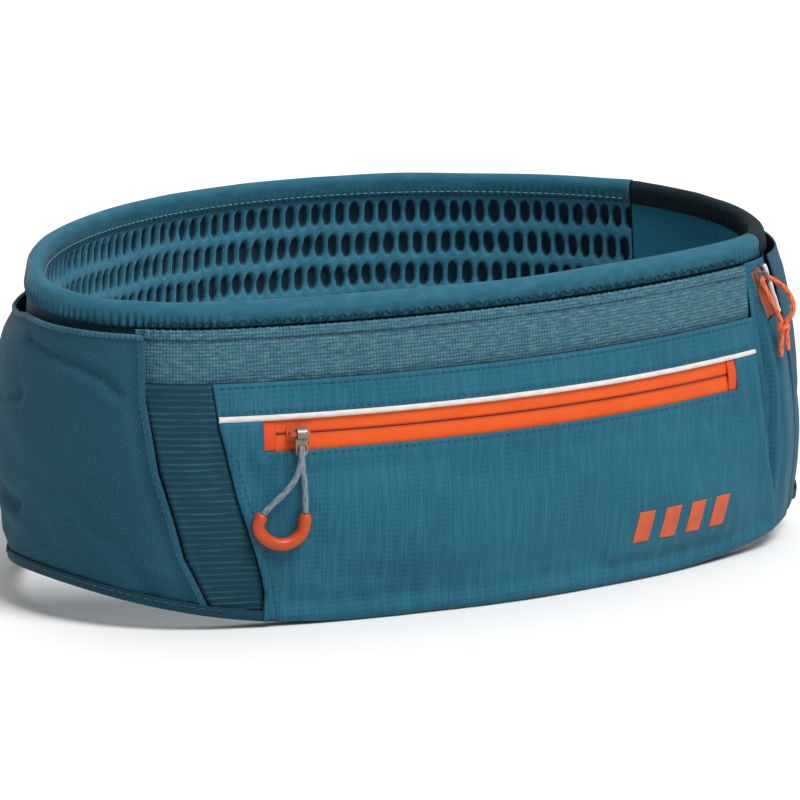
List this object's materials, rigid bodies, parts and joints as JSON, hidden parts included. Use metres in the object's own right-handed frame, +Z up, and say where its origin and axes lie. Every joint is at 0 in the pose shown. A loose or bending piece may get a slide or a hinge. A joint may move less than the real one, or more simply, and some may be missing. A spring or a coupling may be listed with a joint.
{
  "type": "running waist pack",
  "caption": "Wide stretch waist pack standing as an oval ring, with a zipped front pocket, an open side pocket and a hook-and-loop closure.",
  "frame": {"origin": "on the floor, under the middle of the ring", "axes": "+Z up; -Y is the front of the pack, away from the wearer; +X is the hip with the closure"},
  "size_m": [0.3459, 0.2316, 0.132],
  "materials": {
    "spacer_mesh": "three-dimensional spacer mesh, matte",
    "plain_lining": "plain knit lining, matte",
    "stretch_mesh": "fine heathered stretch mesh, matte",
    "ripstop": "light ripstop nylon, soft sheen",
    "ribbed_stretch": "dark ribbed stretch fabric",
    "side_stretch": "matte stretch weave",
    "rim_elastic": "rolled knit elastic binding",
    "dark_elastic": "dark elastic binding",
    "backing": "plain backing cloth",
    "reflective_piping": "pale reflective piping",
    "zip_tape": "coated orange zip tape",
    "zip_coil": "dark nylon coil",
    "slider_metal": "grey painted zinc, satin",
    "grey_cord": "braided grey cord",
    "orange_grip": "soft orange rubber",
    "orange_cord": "braided orange cord",
    "hook_loop": "black hook-and-loop tape",
    "badge_print": "raised orange print"
  },
  "bodies": {
    "belt": {"spacer_mesh_liner": "spacer_mesh", "hip_lining": "plain_lining", "liner_backing": "backing", "closure_lining": "plain_lining", "loop_patch": "hook_loop", "overflow_mesh_panel": "stretch_mesh", "overflow_mouth_elastic": "dark_elastic", "front_pocket_face": "ripstop", "front_pocket_top_strip": "ripstop", "reflective_piping": "reflective_piping", "zip_tape_lower": "zip_tape", "zip_tape_upper": "zip_tape", "zip_coil_lower": "zip_coil", "zip_coil_upper": "zip_coil", "zip_end_tabs": "zip_tape", "left_ribbed_gusset": "ribbed_stretch", "front_end_panel": "ripstop", "hip_zip_tapes": "zip_tape", "hip_zip_coils": "zip_coil", "hip_piping": "reflective_piping", "side_pocket_panel": "side_stretch", "side_pocket_elastic": "side_stretch", "back_panel": "side_stretch", "hip_panel": "side_stretch", "rim_binding": "rim_elastic", "hip_rim_binding": "dark_elastic", "hem_binding": "dark_elastic", "printed_badge": "badge_print"},
    "closure_flap": {"flap_lining": "plain_lining", "flap_backing": "backing", "flap_panel": "side_stretch", "flap_rim_binding": "dark_elastic", "flap_hem_binding": "dark_elastic", "closure_tongue": "dark_elastic", "hook_patch": "hook_loop"},
    "front_slider": {"slider_body": "slider_metal"},
    "pull_tab": {"pull_tab": "slider_metal"},
    "pull_loop": {"pull_cord": "grey_cord", "pull_grip": "orange_grip"},
    "hip_slider": {"hip_slider": "slider_metal"},
    "hip_pull": {"hip_pull_cord": "orange_cord", "hip_pull_knot": "orange_cord"}
  },
  "joints": [
    {"name": "closure_flap_bend", "type": "hinge", "parent": "belt", "child": "closure_flap", "pos_m": [0.14917, -0.0361, 0.06], "axis": [0, 0, -1], "range_deg": [0, 40]},
    {"name": "front_zip_slide", "type": "hinge", "parent": "belt", "child": "front_slider", "pos_m": [0, 0.26649, 0.0756], "axis": [0, 0, 1], "range_deg": [0, 29]},
    {"name": "pull_tab_lift", "type": "hinge", "parent": "front_slider", "child": "pull_tab", "pos_m": [-0.09628, -0.1058, 0.07641], "axis": [-0.9681, 0.2504, 0], "range_deg": [0, 85]},
    {"name": "pull_loop_swing", "type": "hinge", "parent": "pull_tab", "child": "pull_loop", "pos_m": [-0.09632, -0.10596, 0.07081], "axis": [-0.2503, -0.9678, 0.0286], "range_deg": [-50, 50]},
    {"name": "hip_zip_slide", "type": "slide", "parent": "belt", "child": "hip_slider", "axis": [0.2916, -0.1114, -0.95], "range_m": [0, 0.012]},
    {"name": "hip_pull_lift", "type": "hinge", "parent": "hip_slider", "child": "hip_pull", "pos_m": [0.13036, -0.08448, 0.10971], "axis": [-0.8712, -0.4909, 0], "range_deg": [0, 60]}
  ]
}
